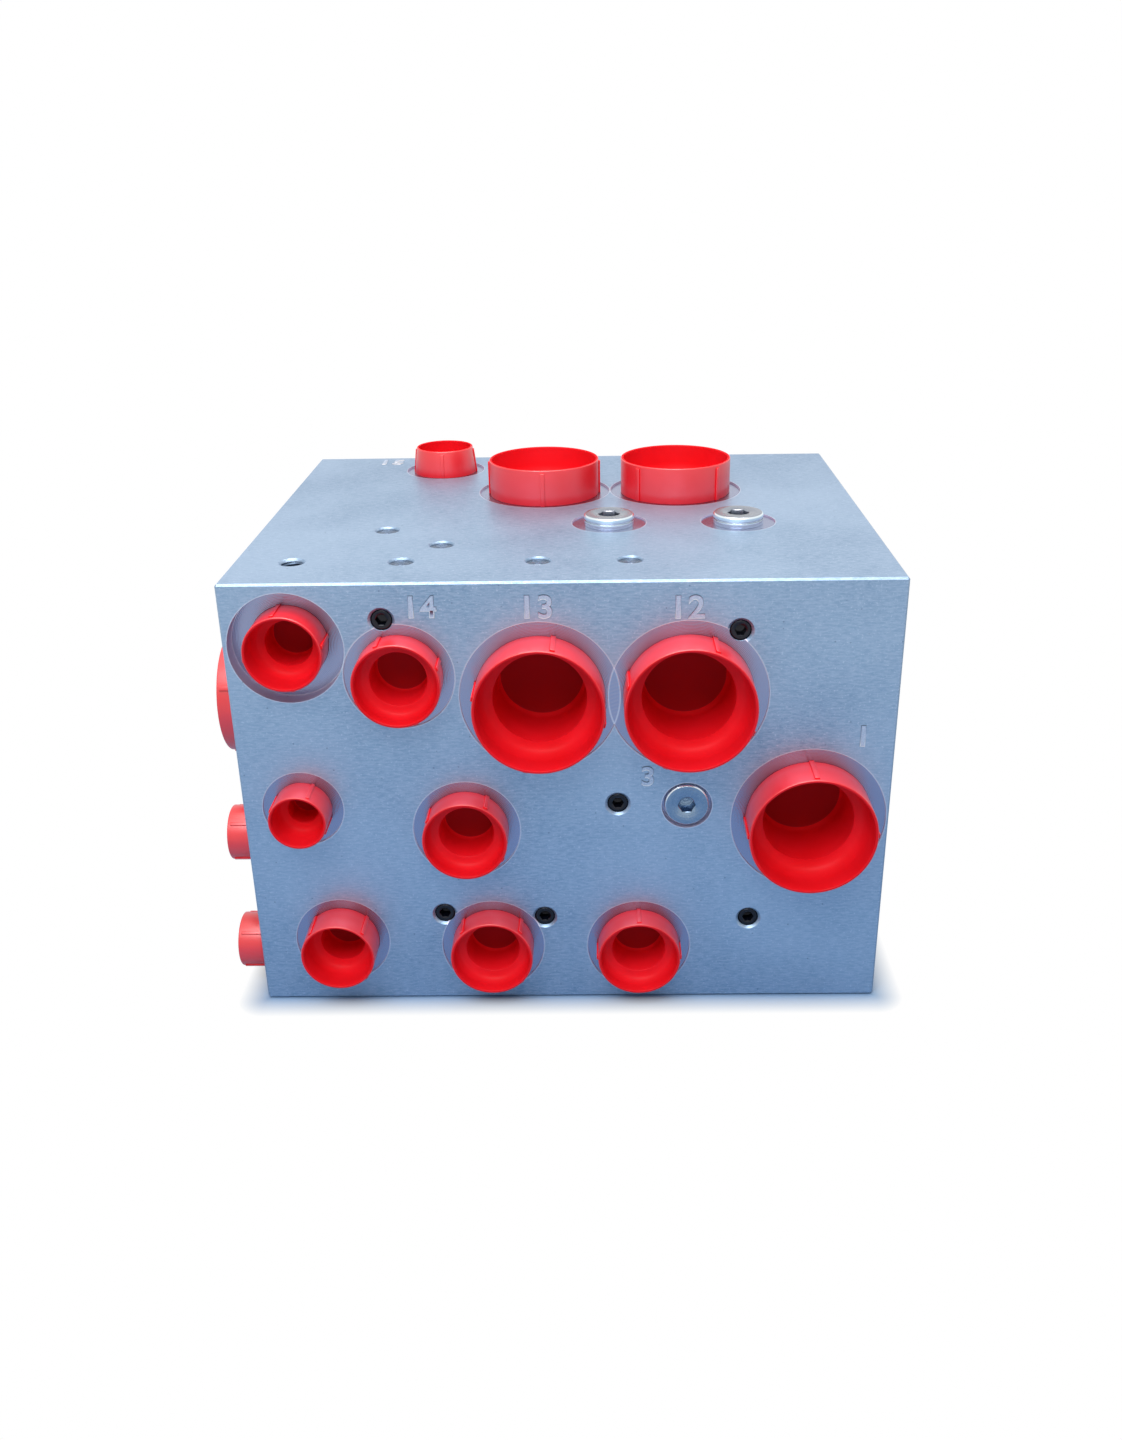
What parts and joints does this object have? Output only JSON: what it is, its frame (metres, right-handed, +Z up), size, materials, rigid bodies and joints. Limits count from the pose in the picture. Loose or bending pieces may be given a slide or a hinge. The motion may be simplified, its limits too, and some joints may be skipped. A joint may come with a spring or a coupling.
{
  "type": "hydraulic manifold block",
  "caption": "Rectangular aluminium hydraulic manifold block with round ports on three faces, closed by red push-in caps, and plugged drillings.",
  "frame": {"origin": "centre of the block's bottom face", "axes": "+X to the right along the block's width, +Y from the front face with ten ports to the back, +Z up"},
  "size_m": [0.2662, 0.2148, 0.1948],
  "materials": {
    "block_aluminium": "milled, satin",
    "cap_red_plastic": "semi-gloss moulded",
    "plug_black_oxide": "black oxide, oiled",
    "plug_zinc": "bright zinc plate",
    "seal_rubber": "matt",
    "expander_steel": "turned"
  },
  "bodies": {
    "root": {"manifold_block": "block_aluminium", "cap_front_1": "cap_red_plastic", "cap_front_2": "cap_red_plastic", "cap_front_3": "cap_red_plastic", "cap_front_4": "cap_red_plastic", "cap_front_5": "cap_red_plastic", "cap_front_6": "cap_red_plastic", "cap_front_7": "cap_red_plastic", "cap_front_8": "cap_red_plastic", "cap_front_9": "cap_red_plastic", "cap_front_10": "cap_red_plastic", "cap_top_1": "cap_red_plastic", "cap_top_2": "cap_red_plastic", "cap_top_3": "cap_red_plastic", "cap_left_1": "cap_red_plastic", "cap_left_2": "cap_red_plastic", "cap_left_3": "cap_red_plastic", "pipe_plug_1": "plug_black_oxide", "pipe_plug_2": "plug_black_oxide", "pipe_plug_3": "plug_black_oxide", "pipe_plug_4": "plug_black_oxide", "pipe_plug_5": "plug_black_oxide", "pipe_plug_6": "plug_black_oxide", "flanged_plug_front": "plug_zinc", "seal_ring_front": "seal_rubber", "flanged_plug_top_1": "plug_zinc", "seal_ring_top_1": "seal_rubber", "flanged_plug_top_2": "plug_zinc", "seal_ring_top_2": "seal_rubber", "expander_sleeve_1": "expander_steel", "expander_core_1": "expander_steel", "expander_sleeve_2": "expander_steel", "expander_core_2": "expander_steel", "expander_sleeve_3": "expander_steel", "expander_core_3": "expander_steel", "expander_sleeve_4": "expander_steel", "expander_core_4": "expander_steel", "expander_sleeve_5": "expander_steel", "expander_core_5": "expander_steel"}
  },
  "joints": []
}
